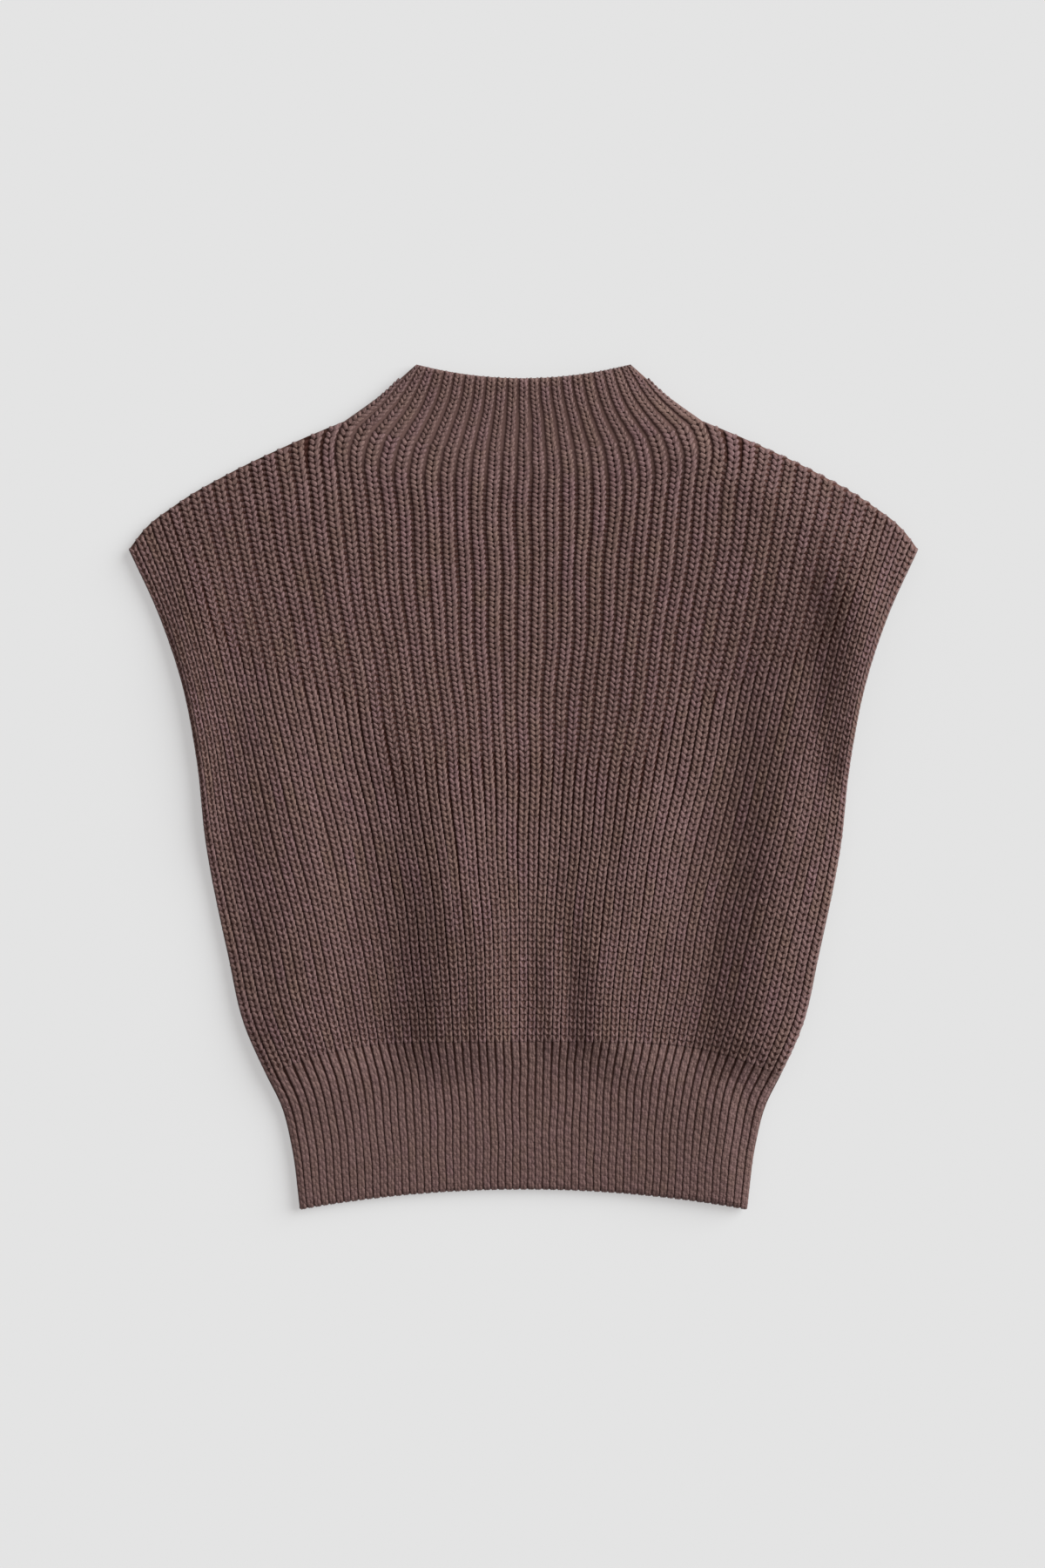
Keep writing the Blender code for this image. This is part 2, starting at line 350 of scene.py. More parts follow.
def body_plan(u, v):
    """Places on a body panel, u across it from -1 to 1 and v from the hem seam to the top.

    A rib runs up from its place on the hem seam, with an eased spread towards the place that
    it aims at across the top, and bows with the side line, most at the sides.  Ribs that run
    up into the neck, and the first ones beside them, turn in over the last of their length.
    """
    rib = np.abs(u) * RIBS_EACH_SIDE
    foot_x = HEM_SEAM_HALF_WIDTH * seam_share(u)
    foot_y = hem_seam_y(foot_x)
    aim_x = SHOULDER_HALF_WIDTH * chest_share(u)
    bulge = np.sign(u) * BULGE * np.exp(-((rib - BULGE_RIB) / BULGE_REACH) ** 2)
    past_neck = (rib - NECK_RIBS_EACH_SIDE) / TURNING_PAST_NECK
    corner_turn = SHOULDER_HALF_WIDTH * chest_share(NECK_SHARE) + BULGE - NECK_HALF_WIDTH
    turn = np.where(past_neck > 0, np.sign(u) * corner_turn * (1 - ease(past_neck)),
                    aim_x + bulge - NECK_HALF_WIDTH * u / NECK_SHARE)
    head_x = aim_x + bulge - turn
    head_y = np.where(past_neck > 0, smooth_curve(SHOULDER_LINE, np.abs(head_x)),
                      neck_base_y(head_x))
    edge_y = HEM_SEAM_CORNER_Y + (TIP_Y - HEM_SEAM_CORNER_Y) * v
    spread = ease(SPREAD_PACE * v)
    edge_line = HEM_SEAM_HALF_WIDTH + (SHOULDER_HALF_WIDTH - HEM_SEAM_HALF_WIDTH) * spread
    bow = smooth_curve(SIDE_LINE, edge_y) - edge_line
    x = foot_x + (aim_x - foot_x) * spread + bow * u * np.abs(u)
    y = foot_y + (head_y - foot_y) * v
    x = x + bulge * ease(1 - (head_y - y) / BULGE_LENGTH)
    turn_length = mix(*TURN_LENGTHS, np.minimum(rib / NECK_RIBS_EACH_SIDE, 1.0))
    turning = 1 - np.clip((head_y - y) / turn_length, 0.0, 1.0)
    return x - turn * turning ** 2, y


def body_rows(rib):
    """How many rows a rib of the body has."""
    past_neck = np.maximum(np.abs(rib) - NECK_RIBS_EACH_SIDE, 0.0)
    return mix(BODY_ROWS, TIP_ROWS, (past_neck / (RIBS_EACH_SIDE - NECK_RIBS_EACH_SIDE)) ** 1.2)


def body_place(rib, row):
    """Places on a body panel.  Rows lie closer together up the centre, and evenly at the sides."""
    share = row / body_rows(rib)
    crowded = (1 - np.exp(-BODY_CROWDING * share)) / (1 - np.exp(-BODY_CROWDING))
    evenness = ease(np.abs(rib) / (RIBS_EACH_SIDE * EVEN_ROWS_FROM))
    return body_plan(rib / RIBS_EACH_SIDE, mix(crowded, share, evenness))


def hem_place(rib, row):
    """Places on a half of the hem rib, rows counted from its edge up to the seam.

    A rib keeps its share of the half width, and each row lies between the edge's arc and the
    seam's.
    """
    v = (np.exp(HEM_CROWDING * row / HEM_ROWS) - 1) / (np.exp(HEM_CROWDING) - 1)
    u = rib / RIBS_EACH_SIDE
    side_y = HEM_CORNER_Y + (HEM_SEAM_CORNER_Y - HEM_CORNER_Y) * v
    x = smooth_curve(SIDE_LINE, side_y) * mix(u, seam_share(u), v)
    edge_y = HEM_CORNER_Y + HEM_EDGE_RISE * (1 - u ** 2)
    seam_y = hem_seam_y(HEM_SEAM_HALF_WIDTH * seam_share(u))
    return x, mix(edge_y, seam_y, v)


def dome(distance, reach):
    """Rises from 0 to 1 over the reach, as a quarter circle does."""
    t = np.clip(distance / reach, 0.0, 1.0)
    return np.sqrt(1 - (1 - t) ** 2)


class Part:
    """One of the garment's parts, which has a front and a back piece.

    It knows how far its ribs and rows run, where each is, and how far from the garment's
    outline it is.
    """

    def __init__(self, name, place, slot, limit, rows, open_edge):
        self.name = name
        self.place = place
        self.slot = slot
        self.limit = limit
        self.rows = rows
        self.open_edge = open_edge

    def roundness(self, rib, row):
        """0 on the garment's outline, and 1 further in than the rounding of the edge."""
        x, y = self.place(rib, row)
        edge_x, _ = self.place(np.where(rib < 0, -1, 1) * self.limit(row), row)
        inward = dome(np.abs(edge_x - x), EDGE_ROUNDING)
        if self.open_edge == "top":
            _, top_y = self.place(rib, self.rows(rib))
            return inward * dome(top_y - y, EDGE_ROUNDING)
        if self.open_edge == "foot":
            _, foot_y = self.place(rib, 0 * row)
            return inward * dome(y - foot_y, EDGE_ROUNDING)
        _, top_y = self.place(rib, self.rows(rib))
        past_neck = ease(np.abs(rib) - NECK_RIBS_EACH_SIDE + 0.5)
        return inward * mix(1.0, dome(top_y - y, EDGE_ROUNDING), past_neck)

    def strayed(self, rib, row):
        """Where the yarn of an even count of ribs and rows really lies, in ribs and rows.

        Ribs sway to the side on their way up, and rows wave as they go across, each as a sum
        of sines.  They don't at the piece's outline and seams, and the body's lowest rows are
        level.
        """
        sway = sines(RIB_SWAY, rib, row)
        wave = sines(ROW_WAVE, rib, row)
        if self.open_edge == "shoulder":
            wave = wave * ease((row - LEVEL_ROWS) / LEVEL_ROWS)
        steady = ease(row / STEADY_ROWS) * ease((self.rows(rib) - row) / STEADY_ROWS)
        steady = steady * np.maximum(1 - (rib / self.limit(row)) ** 4, 0.0)
        return rib + sway * steady, row + wave * steady

    def surface(self, rib, row, layer, height=0.0):
        """Points at a height over the outer face of the layer, or under it if it is negative.

        Yarn that runs past an open edge turns down over it.
        """
        past = 0.0 * row
        if self.open_edge in ("top", "shoulder"):
            past = np.maximum(row - self.rows(rib), 0.0)
        if self.open_edge == "shoulder":
            past = np.where(np.abs(rib) > NECK_RIBS_EACH_SIDE, past, 0.0)
        if self.open_edge == "foot":
            past = np.minimum(row, 0.0)
        row = row - past
        x, y = self.place(*self.strayed(rib, row))
        fold = fold_height(x, y)
        under = BACK_SHARE * np.maximum(fold - BACK_FLAT, 0.0)
        round_edge = mix(EDGE_PINCH, 1.0, self.roundness(rib, row))
        if layer == "front":
            outward, face, lift = 1, FRONT_FACE[self.name], mix(under, fold, round_edge)
        else:
            outward, face, lift = -1, BACK_FACE, under
        over = np.abs(face - MEETING_HEIGHT) * round_edge + height
        over -= np.abs(past) * TURN_DOWN
        return np.stack((x, y, MEETING_HEIGHT + outward * over + lift), axis=-1)

    def outward(self, rib, row, layer):
        """The way that the layer faces: the cross product of its slopes along ribs and rows."""
        step = 0.3
        across = self.surface(rib + step, row, layer) - self.surface(rib - step, row, layer)
        along = self.surface(rib, row + step, layer) - self.surface(rib, row - step, layer)
        facing = np.cross(across, along)
        if layer == "back":
            facing = -facing
        return facing / np.maximum(np.linalg.norm(facing, axis=-1, keepdims=True), 1e-12)


BODY = Part("panel", body_place, "body_knit", lambda row: RIBS_EACH_SIDE + 0 * row,
            body_rows, "shoulder")
NECK = Part("neck", neck_place, "neck_knit", neck_limit, lambda rib: NECK_ROWS + 0 * rib, "top")
HEM = Part("hem_rib", hem_place, "hem_knit", lambda row: RIBS_EACH_SIDE + 0 * row,
           lambda rib: HEM_ROWS + 0 * rib, "foot")

# ---------------------------------------------------------------------------------------------
# Meshes and materials.


def linear(hex_colour):
    """An sRGB hex colour as linear red, green, blue and alpha."""
    srgb = [int(hex_colour[i:i + 2], 16) / 255 for i in (1, 3, 5)]
    return [c / 12.92 if c <= 0.04045 else ((c + 0.055) / 1.055) ** 2.4 for c in srgb] + [1.0]


def add_node(tree, kind, inputs=None, **settings):
    """Adds a node.  An input takes a value, or the output socket of another node."""
    made = tree.nodes.new(kind)
    for name, value in settings.items():
        setattr(made, name, value)
    for name, value in (inputs or {}).items():
        if isinstance(value, bpy.types.NodeSocket):
            tree.links.new(value, made.inputs[name])
        else:
            made.inputs[name].default_value = value
    return made


def new_piece(name, points, faces, material, uvs, marks, nap=None):
    """A smooth mesh of quads and triangles.

    faces and uvs are lists of arrays, one for quads and one for triangles: the corners' point
    numbers and their places on the UV map.  marks are numbers kept at each point by name, and
    nap is the way that the cloth faces there.
    """
    mesh = bpy.data.meshes.new(name)
    mesh.vertices.add(len(points))
    mesh.vertices.foreach_set("co", np.asarray(points, np.float32).ravel())
    corners = np.concatenate([f.ravel() for f in faces])
    sizes = np.concatenate([np.full(len(f), f.shape[1]) for f in faces])
    mesh.loops.add(len(corners))
    mesh.loops.foreach_set("vertex_index", corners.astype(np.int32))
    mesh.polygons.add(len(sizes))
    starts = np.concatenate(([0], np.cumsum(sizes)[:-1]))
    mesh.polygons.foreach_set("loop_start", starts.astype(np.int32))
    mesh.update(calc_edges=True)
    mesh.polygons.foreach_set("use_smooth", np.ones(len(sizes), bool))
    layer = mesh.uv_layers.new(name="yarn")
    flat = np.concatenate([u.reshape(-1, 2) for u in uvs])
    layer.data.foreach_set("uv", flat.astype(np.float32).ravel())
    for label, values in marks.items():
        kept = mesh.attributes.new(label, "FLOAT", "POINT")
        kept.data.foreach_set("value", values.astype(np.float32))
    if nap is not None:
        kept = mesh.attributes.new("nap", "FLOAT_VECTOR", "POINT")
        kept.data.foreach_set("vector", nap.astype(np.float32).ravel())
    mesh.materials.append(material)
    piece = bpy.data.objects.new(name, mesh)
    bpy.context.scene.collection.objects.link(piece)
    return piece


def grains(name, axis, outward, radius, swell, shape, material, shade, hue):
    """Short lengths of yarn with rounded ends, joined in one mesh.

    axis holds each grain's stations, ends included, as (grains, stations, 3), and outward the
    way that the cloth faces there.  Round every station but the ends goes a ring, at cosine
    and sine of its angle times the grain's radius times the profile there, and at the first
    ring times the swell too.  It is pressed flatter against the cloth.  The ends are single
    points.
    """
    level, profile, sides = shape
    count, stations, _ = axis.shape
    rings = stations - 2
    along = np.gradient(axis, axis=1)
    along /= np.linalg.norm(along, axis=2, keepdims=True)
    sideways = np.cross(outward, along)
    sideways /= np.linalg.norm(sideways, axis=2, keepdims=True)
    upwards = YARN_FLATNESS * np.cross(along, sideways)
    angle = 2 * np.pi * np.arange(sides) / sides
    size = radius[:, None] * np.asarray(profile)[None, :]
    size[:, 0] *= swell
    size = size[:, :, None, None]
    ring = axis[:, 1:-1, None, :] + size * (
        sideways[:, 1:-1, None, :] * np.cos(angle)[None, None, :, None]
        + upwards[:, 1:-1, None, :] * np.sin(angle)[None, None, :, None])
    points = np.concatenate((axis[:, :1], ring.reshape(count, rings * sides, 3), axis[:, -1:]),
                            axis=1)
    each = rings * sides + 2

    here = np.arange(sides)
    after = (here + 1) % sides
    first = 1 + here
    last = 1 + (rings - 1) * sides
    start = np.column_stack((np.zeros(sides, int), 1 + after, first))
    end = np.column_stack((np.full(sides, each - 1), last + here, last + after))
    base = 1 + sides * np.arange(rings - 1)[:, None]
    bands = np.stack((base + here, base + after, base + sides + after, base + sides + here),
                     axis=-1).reshape(-1, 4)
    step = each * np.arange(count)[:, None, None]
    quads = (bands[None] + step).reshape(-1, 4)
    triangles = (np.concatenate((start, end))[None] + step).reshape(-1, 3)

    level = np.asarray(level)
    low = np.repeat(level[1:-2], sides)
    high = np.repeat(level[2:-1], sides)
    left = np.tile(here, rings - 1) / sides
    right = left + 1 / sides
    band_uv = np.stack((np.stack((left, low), -1), np.stack((right, low), -1),
                        np.stack((right, high), -1), np.stack((left, high), -1)), axis=1)
    mid = (here + 0.5) / sides
    near = here / sides
    far = near + 1 / sides
    start_uv = np.stack((np.stack((mid, 0 * mid), -1),
                         np.stack((far, 0 * mid + level[1]), -1),
                         np.stack((near, 0 * mid + level[1]), -1)), axis=1)
    end_uv = np.stack((np.stack((mid, 0 * mid + 1), -1),
                       np.stack((near, 0 * mid + level[-2]), -1),
                       np.stack((far, 0 * mid + level[-2]), -1)), axis=1)
    offset = np.stack((np.zeros(count), np.arange(count) * 0.37 % 5), axis=-1)[:, None, None, :]
    quad_uv = (band_uv[None] + offset).reshape(-1, 2)
    triangle_uv = (np.concatenate((start_uv, end_uv))[None] + offset).reshape(-1, 2)
    middle = outward[:, 1:-1, None, :] + 0 * ring
    nap = np.concatenate((outward[:, :1], middle.reshape(count, rings * sides, 3),
                          outward[:, -1:]), axis=1)
    marks = {"shade": np.repeat(shade, each), "hue": np.repeat(hue, each)}
    return new_piece(name, points.reshape(-1, 3), [quads, triangles], material,
                     [quad_uv, triangle_uv], marks, nap.reshape(-1, 3))


def chest_part(rib, row):
    """1 where ribs are pulled apart, over the chest and the tops of the shoulders, and else 0."""
    reach = mix(*CHEST_RIBS, ease((row - WIDENING_ROW) / CHEST_EASE))
    return ease((row - CHEST_ROW) / CHEST_EASE) * ease((reach - np.abs(rib)) / 5)


def crowded_part(rib):
    """1 at the sides, where full rows crowd together, and 0 up the middle."""
    return ease((np.abs(rib) - 11) / 8)


def ground_marks(part, rib, row):
    """Two shares that tell the ground material what shows in the grooves between ribs.

    ladder is how plainly each row's bar of yarn shows, with the painted shade of the holes
    beside it, fully on the chest and not on the neck.  smooth is how far the groove's painted
    shade gives way to a shallow dip in plain cloth, as it does on the neck and in part at the
    sides and towards the hem's edge.
    """
    if part is NECK:
        return {"ladder": 0.0 * rib, "smooth": 1.0 - 0.35 * ease(row / NECK_ROWS)}
    if part is HEM:
        return {"ladder": 0.0 * rib, "smooth": mix(0.95, 0.05, ease(row / HEM_ROWS))}
    near_neck = ease((row - 92) / 10) * ease((15 - np.abs(rib)) / 4)
    return {"ladder": chest_part(rib, row) * (1 - near_neck),
            "smooth": np.maximum(near_neck, 0.35 * crowded_part(rib))}


def grid_lines(start, end, count):
    """Evenly spaced grid lines, with two more near each end where the edge is rounded."""
    lines = np.linspace(start, end, count + 1)
    step = lines[1] - lines[0]
    first = start + step * EDGE_LINES
    last = end - step * EDGE_LINES[::-1]
    return np.concatenate((first, lines[1:-1], last))


def knit_sheet(part, layer, columns, courses, material):
    """A closed thin sheet of cloth under the yarn.

    The outer and inner faces are grids over the ribs and rows, SHEET_WALL apart, and a strip
    joins them all round.  Its UV map counts ribs and rows.
    """
    across, up = np.meshgrid(grid_lines(-1, 1, columns), grid_lines(0, 1, courses))
    rib = across * RIBS_EACH_SIDE
    row = up * part.rows(rib)
    rib = across * part.limit(row)
    outer = part.surface(rib, row, layer).reshape(-1, 3)
    inward = SHEET_WALL * mix(EDGE_PINCH, 1.0, part.roundness(rib, row))
    inner = part.surface(rib, row, layer, -inward).reshape(-1, 3)
    high, wide = across.shape
    index = np.arange(wide * high).reshape(high, wide)
    quads = np.stack((index[:-1, :-1], index[:-1, 1:], index[1:, 1:], index[1:, :-1]),
                     axis=-1).reshape(-1, 4)
    rim = np.concatenate((index[0, :], index[1:, -1], index[-1, -2::-1], index[-2:0:-1, 0]))
    ahead = np.roll(rim, -1)
    below = wide * high
    walls = np.column_stack((rim, rim + below, ahead + below, ahead))
    faces = np.concatenate((quads, quads[:, ::-1] + below, walls))
    if layer == "back":
        faces = faces[:, ::-1]
    points = np.concatenate((outer, inner))
    counts = np.column_stack((rib.ravel(), row.ravel()))
    counts = np.concatenate((counts, counts))
    marks = {label: np.tile(values.ravel(), 2)
             for label, values in ground_marks(part, rib, row).items()}
    return new_piece(f"{layer}_{part.name}_cloth", points, [faces], material, [counts[faces]],
                     marks)


def yarn_material(name, mid, pink, olive, painted_shade, nap_share, ply_depth):
    """Soft spun wool, in plies that twist along each length of yarn.

    Matt, with a faint bloom of fibres that catches light at its edges, and dyed a little
    unevenly, so that one stretch is pinker and the next more olive.  Its colour is darkened
    towards a colour of painted shade by the shade mark, which holds a random tone and some
    painted shade and light, and by the painted shade of the line between its plies.
    nap_share is how far it is lit as the cloth it lies on, not as its own round surface, and
    ply_depth is how dark the painted shade of the line between its plies is.
    """
    material = bpy.data.materials.new(name)
    material.use_nodes = True
    tree = material.node_tree
    shader = tree.nodes["Principled BSDF"]
    shader.inputs["Roughness"].default_value = 0.88
    shader.inputs["Sheen Weight"].default_value = 0.3
    shader.inputs["Sheen Roughness"].default_value = 0.5
    shader.inputs["Sheen Tint"].default_value = linear("#C8C0C4")
    shader.inputs["Specular IOR Level"].default_value = 0.25

    hue = add_node(tree, "ShaderNodeAttribute", attribute_name="hue")
    shade = add_node(tree, "ShaderNodeAttribute", attribute_name="shade")
    ramp = add_node(tree, "ShaderNodeValToRGB", {"Fac": hue.outputs["Fac"]})
    ramp.color_ramp.elements[0].color = linear(olive)
    ramp.color_ramp.elements[1].color = linear(pink)
    middle = ramp.color_ramp.elements.new(0.5)
    middle.color = linear(mid)

    # Tufts of loose fibre.  A leg is about 5 mm long and 7 mm round, so they are about 1 mm
    # across, which is coarser than single fibres, as those are too fine to show.
    uv = add_node(tree, "ShaderNodeUVMap", uv_map="yarn")
    place = add_node(tree, "ShaderNodeMapping", {"Vector": uv.outputs["UV"],
                                                 "Scale": (7.0, 5.0, 1.0)})
    fibre = add_node(tree, "ShaderNodeTexNoise", {"Vector": place.outputs["Vector"],
                                                  "Scale": 1.0, "Detail": 2.0})
    light = add_node(tree, "ShaderNodeMath", {0: fibre.outputs["Fac"], 1: 1.7, 2: 0.25},
                     operation="MULTIPLY_ADD")

    # Two plies, which turn nearly half round the yarn in its length, with a line of painted shade
    # where they meet.
    turned = add_node(tree, "ShaderNodeSeparateXYZ", {"Vector": uv.outputs["UV"]})
    twist = add_node(tree, "ShaderNodeMath", {0: turned.outputs["Y"], 1: 0.45,
                                              2: turned.outputs["X"]},
                     operation="MULTIPLY_ADD")
    plies = add_node(tree, "ShaderNodeMath", {0: twist.outputs[0], 1: 2 * np.pi},
                     operation="MULTIPLY")
    wave = add_node(tree, "ShaderNodeMath", {0: plies.outputs[0]}, operation="SINE")
    ply = add_node(tree, "ShaderNodeMath", {0: wave.outputs[0]}, operation="ABSOLUTE")
    meeting = add_node(tree, "ShaderNodeMapRange", {"Value": ply.outputs[0], "From Min": 0.0,
                                                    "From Max": 0.45,
                                                    "To Min": 1 - ply_depth,
                                                    "To Max": 1.03})
    streaked = add_node(tree, "ShaderNodeMath", {0: light.outputs[0],
                                                 1: meeting.outputs["Result"]},
                        operation="MULTIPLY")
    lit = add_node(tree, "ShaderNodeMath", {0: streaked.outputs[0], 1: shade.outputs["Fac"]},
                   operation="MULTIPLY")
    # The yarn's colour, darkened towards the colour of painted shade by its fibres' random tone,
    # by the painted shade where its plies meet and by the shade mark, which carries random tone
    # and painted shade and light.
    toned_and_shaded = add_node(tree, "ShaderNodeMix", {"Factor": lit.outputs[0], "A": linear(painted_shade),
                                            "B": ramp.outputs["Color"]},
                    data_type="RGBA", clamp_factor=False)
    tree.links.new(toned_and_shaded.outputs["Result"], shader.inputs["Base Color"])

    relief = add_node(tree, "ShaderNodeMath", {0: fibre.outputs["Fac"], 1: 1.5,
                                               2: ply.outputs[0]},
                      operation="MULTIPLY_ADD")
    # Fibres stand off the yarn every way, so light falls on it in part as on the cloth itself.
    nap = add_node(tree, "ShaderNodeAttribute", attribute_name="nap")
    facing = add_node(tree, "ShaderNodeVectorTransform", {"Vector": nap.outputs["Vector"]},
                      vector_type="NORMAL", convert_from="OBJECT", convert_to="WORLD")
    surface = add_node(tree, "ShaderNodeNewGeometry")
    softened = add_node(tree, "ShaderNodeMix", {4: surface.outputs["Normal"],
                                                5: facing.outputs["Vector"], 0: nap_share},
                        data_type="VECTOR")
    level = add_node(tree, "ShaderNodeVectorMath", {0: softened.outputs[1]},
                     operation="NORMALIZE")
    bump = add_node(tree, "ShaderNodeBump", {"Strength": 0.8, "Distance": 0.0004,
                                             "Height": relief.outputs[0],
                                             "Normal": level.outputs["Vector"]})
    tree.links.new(bump.outputs["Normal"], shader.inputs["Normal"])
    return material


def ground_material(name, bar, painted_shade, groove, dip, loops):
    """The ground of the knitting, seen in the grooves between ribs and through its stitches.

    Where a groove is pulled wide each row's bar of yarn crosses it, darkened with painted
    shade, and the holes over and under the bar are dark with painted shade.  A narrow groove
    is dark all along with painted shade, and on the neck it is a pale dip.  Under the middle
    of each rib lie the loops of the row below, darkened with painted shade.
    """
    material = bpy.data.materials.new(name)
    material.use_nodes = True
    tree = material.node_tree
    shader = tree.nodes["Principled BSDF"]
    shader.inputs["Roughness"].default_value = 0.95
    shader.inputs["Specular IOR Level"].default_value = 0.1
    uv = add_node(tree, "ShaderNodeUVMap", uv_map="yarn")
    counts = add_node(tree, "ShaderNodeSeparateXYZ", {"Vector": uv.outputs["UV"]})
    angle = add_node(tree, "ShaderNodeMath", {0: counts.outputs["Y"], 1: 2 * np.pi},
                     operation="MULTIPLY")
    wave = add_node(tree, "ShaderNodeMath", {0: angle.outputs[0]}, operation="COSINE")
    share = add_node(tree, "ShaderNodeMath", {0: wave.outputs[0], 1: 0.5, 2: 0.5},
                     operation="MULTIPLY_ADD")
    rungs = add_node(tree, "ShaderNodeMix", {"Factor": share.outputs[0], "A": linear(painted_shade),
                                             "B": linear(bar)}, data_type="RGBA")
    ladder = add_node(tree, "ShaderNodeAttribute", attribute_name="ladder")
    smooth = add_node(tree, "ShaderNodeAttribute", attribute_name="smooth")
    plain = add_node(tree, "ShaderNodeMix", {"Factor": smooth.outputs["Fac"],
                                             "A": linear(groove), "B": linear(dip)},
                     data_type="RGBA")
    between = add_node(tree, "ShaderNodeMix", {"Factor": ladder.outputs["Fac"],
                                               "A": plain.outputs["Result"],
                                               "B": rungs.outputs["Result"]},
                       data_type="RGBA")
    turn = add_node(tree, "ShaderNodeMath", {0: counts.outputs["X"], 1: 2 * np.pi},
                    operation="MULTIPLY")
    middle = add_node(tree, "ShaderNodeMath", {0: turn.outputs[0]}, operation="COSINE")
    under = add_node(tree, "ShaderNodeMapRange", {"Value": middle.outputs[0], "From Min": -0.6,
                                                  "From Max": 0.2})
    colour = add_node(tree, "ShaderNodeMix", {"Factor": under.outputs["Result"],
                                              "A": between.outputs["Result"],
                                              "B": linear(loops)}, data_type="RGBA")
    tree.links.new(colour.outputs["Result"], shader.inputs["Base Color"])
    height = add_node(tree, "ShaderNodeMath", {0: share.outputs[0], 1: ladder.outputs["Fac"]},
                      operation="MULTIPLY")
    bump = add_node(tree, "ShaderNodeBump", {"Strength": 0.6, "Distance": 0.0008,
                                             "Height": height.outputs[0]})
    tree.links.new(bump.outputs["Normal"], shader.inputs["Normal"])
    return material


# ---------------------------------------------------------------------------------------------
# Stitches.


def uneven(shape, rng, row_reach):
    """Random numbers about 0 that drift slowly along the rows, for ribs by rows."""
    ribs, rows = shape
    reach = np.arange(-round(3 * row_reach), round(3 * row_reach) + 1)
    weight = np.exp(-(reach / row_reach) ** 2 / 2)
    weight /= np.sqrt((weight ** 2).sum())
    loose = rng.standard_normal((ribs, rows + len(reach) - 1))
    return np.stack([np.convolve(line, weight, "valid") for line in loose])


def stitch_grid(part):
    """Each stitch's rib and row, as grids, and which of them lie on the part.

    A rib has a whole number of stitches, spaced so that the last one ends at its top.
    """
    rib = np.arange(-RIBS_EACH_SIDE, RIBS_EACH_SIDE) + 0.5
    row = np.arange(np.max(part.rows(np.zeros(1))))
    rib, row = np.meshgrid(rib, row, indexing="ij")
    count = np.round(part.rows(rib))
    on_part = (np.abs(rib) < part.limit(row) - 0.1) & (row < count)
    return rib, row * part.rows(rib) / count, on_part


def pitches(part, rib, row):
    """Width of a rib and height of a row at each stitch, in metres."""
    sides = [np.stack(part.place(rib + d, row), -1) for d in (-0.25, 0.25)]
    ends = [np.stack(part.place(rib, row + d), -1) for d in (-0.25, 0.25)]
    width = 2 * np.linalg.norm(sides[1] - sides[0], axis=-1)
    height = 2 * np.linalg.norm(ends[1] - ends[0], axis=-1)
    return width, height


def leg_shapes(part, chain, width, height):
    """A row of LEG_SHAPES for each stitch.

    On the body they are mixed by how far each stitch is pulled and how tall it is.
    """
    if part is not BODY:
        kind = "neck" if part is NECK else "drawn"
        return np.tile(LEG_SHAPES[kind], (len(chain), 1))

    def along(span, value):
        return ease((value - span[0]) / (span[1] - span[0]))[:, None]

    pulled, wide, tall = (np.array(LEG_SHAPES[kind]) for kind in ("pulled", "wide", "tall"))
    loose = mix(wide, tall, along(TALL_FROM, height / chain))
    return mix(loose, pulled, along(PULLED_FROM, chain / width))


